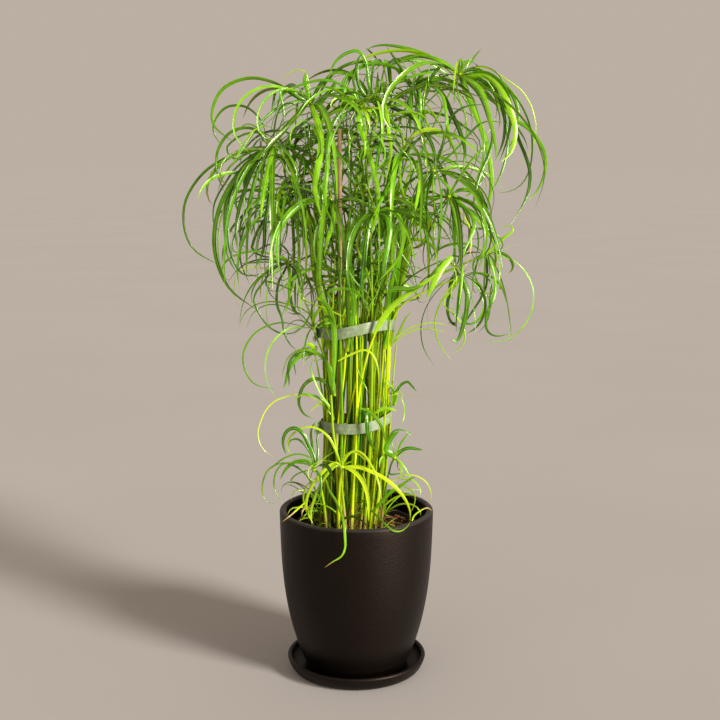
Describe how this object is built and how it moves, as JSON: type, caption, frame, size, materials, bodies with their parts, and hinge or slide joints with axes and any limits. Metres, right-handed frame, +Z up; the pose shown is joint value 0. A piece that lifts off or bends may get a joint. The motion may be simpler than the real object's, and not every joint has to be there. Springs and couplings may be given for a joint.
{
  "type": "potted umbrella sedge",
  "caption": "Umbrella sedge with tied upright culms and weeping leafy crowns, growing in a plastic pot inside a black ceramic cover pot on a saucer.",
  "frame": {"origin": "centre of the saucer's underside, on the pot's axis", "axes": "+Z up along the pot's axis; a viewer in front of the plant looks along +Y, with +X to the right"},
  "size_m": [0.4218, 0.3342, 0.763],
  "materials": {
    "black_ceramic": "satin",
    "grower_plastic": "matt",
    "soil": "crumbly bark and peat, damp",
    "culm_green": "smooth, slightly waxy",
    "bract_green": "glossy, finely veined along its length",
    "bamboo": "smooth, dry",
    "tie_tape": "satin, crinkled"
  },
  "bodies": {
    "root": {"saucer": "black_ceramic", "pot": "black_ceramic", "grower_pot": "grower_plastic", "soil": "soil", "cane": "bamboo", "tie_lower": "tie_tape", "tie_upper": "tie_tape", "culm_top_right": "culm_green", "culm_top_middle": "culm_green", "culm_top_dense": "culm_green", "culm_top_pale": "culm_green", "culm_left_high": "culm_green", "culm_left_weeping": "culm_green", "culm_left_inner": "culm_green", "culm_right_high": "culm_green", "culm_middle_right": "culm_green", "culm_right_long": "culm_green", "culm_right_broad": "culm_green", "culm_middle_left": "culm_green", "culm_right_low": "culm_green", "culm_right_hooked": "culm_green", "culm_left_low": "culm_green", "culm_lower_left": "culm_green", "culm_side_left": "culm_green", "culm_front_yellow": "culm_green", "culm_front_dark": "culm_green", "culm_side_right": "culm_green", "culm_middle_small": "culm_green", "culm_left_middle": "culm_green", "culm_front_middle": "culm_green", "culm_back_middle": "culm_green", "culm_back_right": "culm_green", "culm_back_left": "culm_green", "crown_top_right": "bract_green", "crown_top_middle": "bract_green", "crown_top_dense": "bract_green", "crown_top_pale": "bract_green", "crown_left_high": "bract_green", "crown_left_weeping": "bract_green", "crown_left_inner": "bract_green", "crown_right_high": "bract_green", "crown_middle_right": "bract_green", "crown_right_long": "bract_green", "crown_right_broad": "bract_green", "crown_middle_left": "bract_green", "crown_right_low": "bract_green", "crown_right_hooked": "bract_green", "crown_left_low": "bract_green", "crown_lower_left": "bract_green", "crown_side_left": "bract_green", "crown_front_yellow": "bract_green", "crown_front_dark": "bract_green", "crown_side_right": "bract_green", "crown_middle_small": "bract_green", "crown_left_middle": "bract_green", "crown_front_middle": "bract_green", "crown_back_middle": "bract_green", "crown_back_right": "bract_green", "crown_back_left": "bract_green"}
  },
  "joints": []
}
